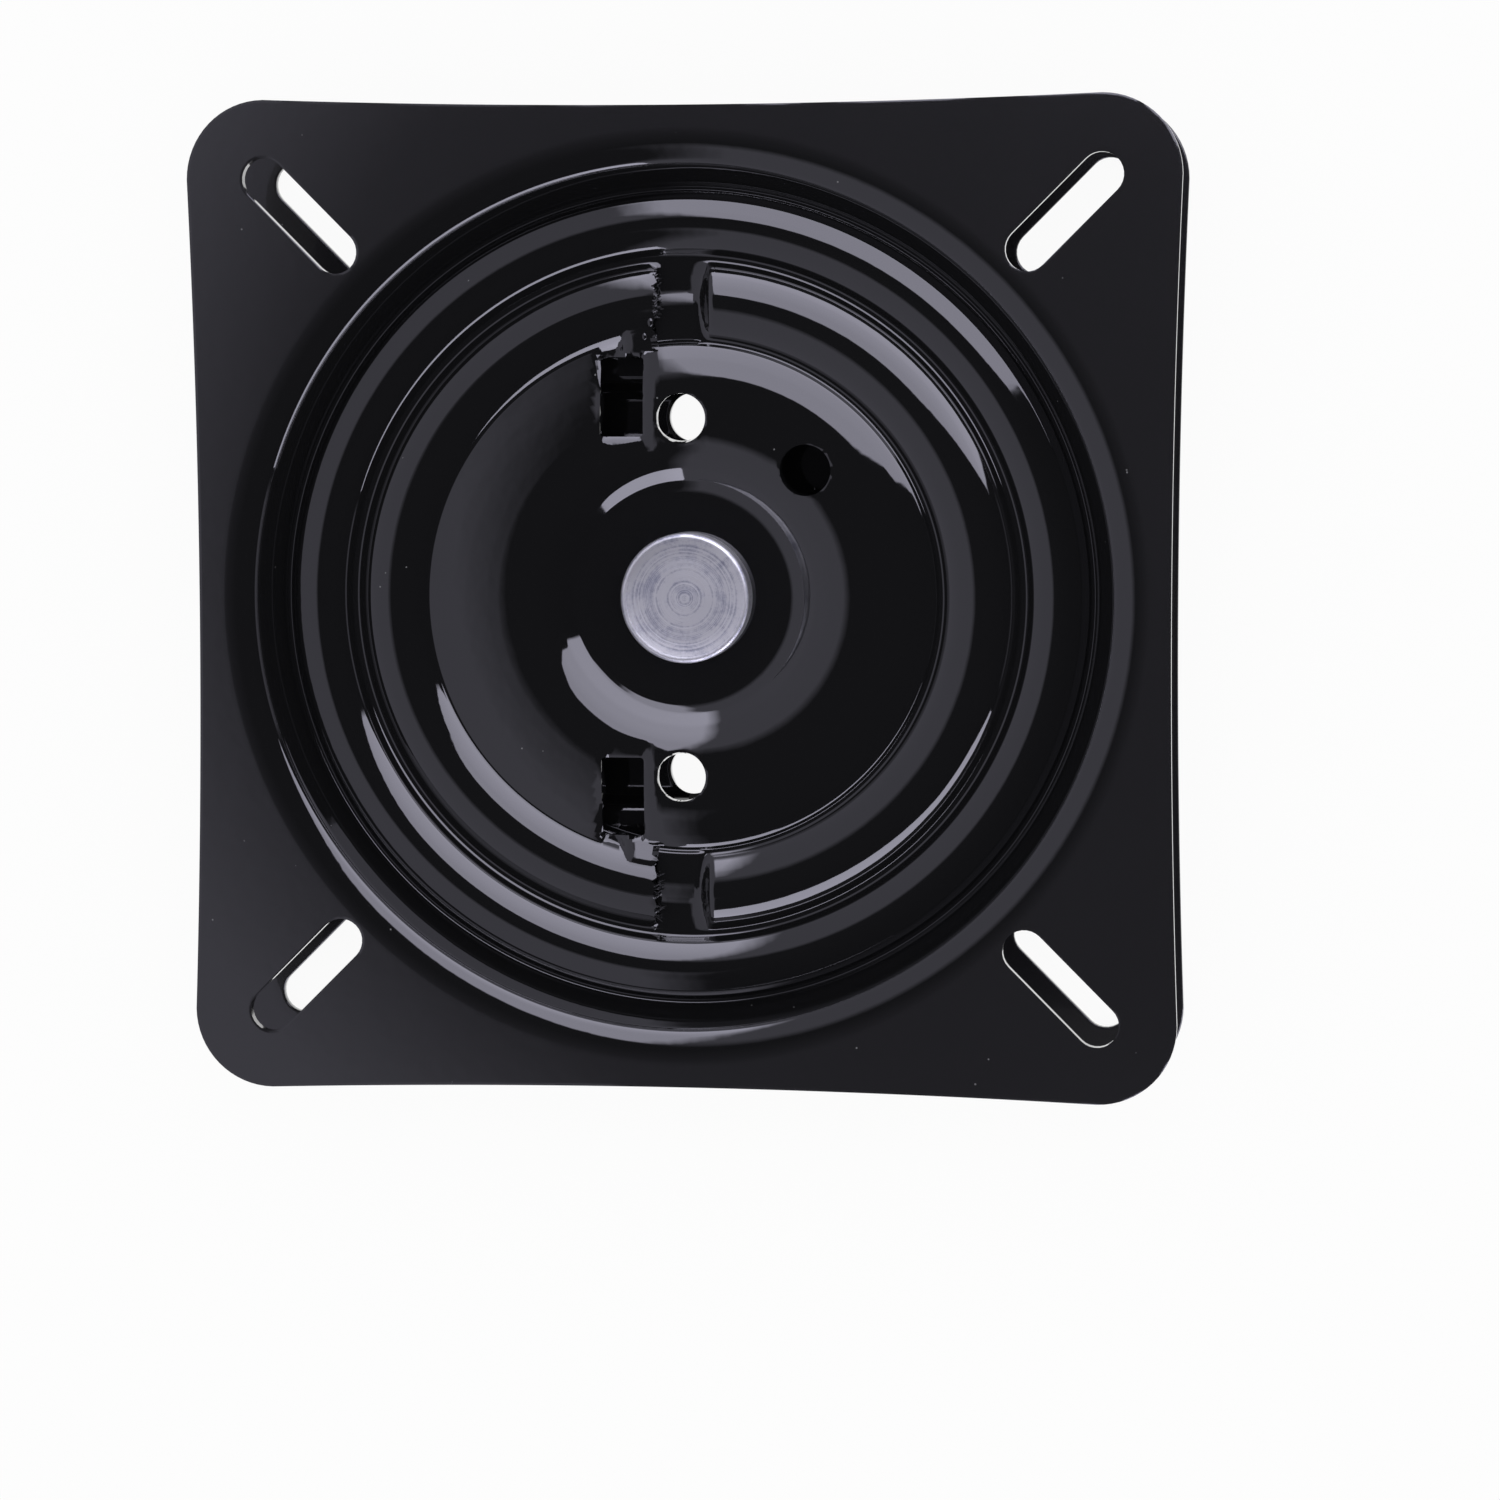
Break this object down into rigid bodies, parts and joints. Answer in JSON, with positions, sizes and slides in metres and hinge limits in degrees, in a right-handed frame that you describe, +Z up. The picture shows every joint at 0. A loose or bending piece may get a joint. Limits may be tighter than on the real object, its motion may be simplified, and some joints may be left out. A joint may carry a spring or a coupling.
{
  "type": "lazy susan bearing",
  "caption": "Square swivel plate: two slotted sheet-steel flanges with pressed ball races, held together by a large centre rivet so that the upper plate turns freely.",
  "frame": {"origin": "centre of the lower flange's underside", "axes": "+Z up along the turning axis, +X and +Y along the flange sides"},
  "size_m": [0.24, 0.24, 0.036],
  "materials": {
    "black_paint": "high gloss black paint",
    "zinc_rivet": "zinc plated, turned face",
    "plain_steel": "plain turned steel",
    "ball_steel": "polished bearing balls",
    "cage_plastic": "natural nylon"
  },
  "bodies": {
    "base": {"bottom_plate": "black_paint"},
    "turning_plate": {"top_plate": "black_paint", "retaining_disc": "black_paint", "centre_rivet": "zinc_rivet", "spacer_tube": "plain_steel"},
    "upper_ball_ring": {"upper_cage": "cage_plastic", "upper_ball_01": "ball_steel", "upper_ball_02": "ball_steel", "upper_ball_03": "ball_steel", "upper_ball_04": "ball_steel", "upper_ball_05": "ball_steel", "upper_ball_06": "ball_steel", "upper_ball_07": "ball_steel", "upper_ball_08": "ball_steel", "upper_ball_09": "ball_steel", "upper_ball_10": "ball_steel", "upper_ball_11": "ball_steel", "upper_ball_12": "ball_steel", "upper_ball_13": "ball_steel", "upper_ball_14": "ball_steel", "upper_ball_15": "ball_steel", "upper_ball_16": "ball_steel"},
    "lower_ball_ring": {"lower_cage": "cage_plastic", "lower_ball_01": "ball_steel", "lower_ball_02": "ball_steel", "lower_ball_03": "ball_steel", "lower_ball_04": "ball_steel", "lower_ball_05": "ball_steel", "lower_ball_06": "ball_steel", "lower_ball_07": "ball_steel", "lower_ball_08": "ball_steel", "lower_ball_09": "ball_steel", "lower_ball_10": "ball_steel", "lower_ball_11": "ball_steel", "lower_ball_12": "ball_steel"}
  },
  "joints": [
    {"name": "plate_turn", "type": "hinge", "parent": "base", "child": "turning_plate", "pos_m": [0, 0, 0.018], "axis": [0, 0, 1], "continuous": true},
    {"name": "upper_ring_turn", "type": "hinge", "parent": "base", "child": "upper_ball_ring", "pos_m": [0, 0, 0.018], "axis": [0, 0, 1], "continuous": true},
    {"name": "lower_ring_turn", "type": "hinge", "parent": "base", "child": "lower_ball_ring", "pos_m": [0, 0, 0.0125], "axis": [0, 0, 1], "continuous": true}
  ],
  "couplings": [
    {"joint": "upper_ring_turn", "follows": "plate_turn", "ratio": 0.5},
    {"joint": "lower_ring_turn", "follows": "plate_turn", "ratio": 0.5}
  ]
}
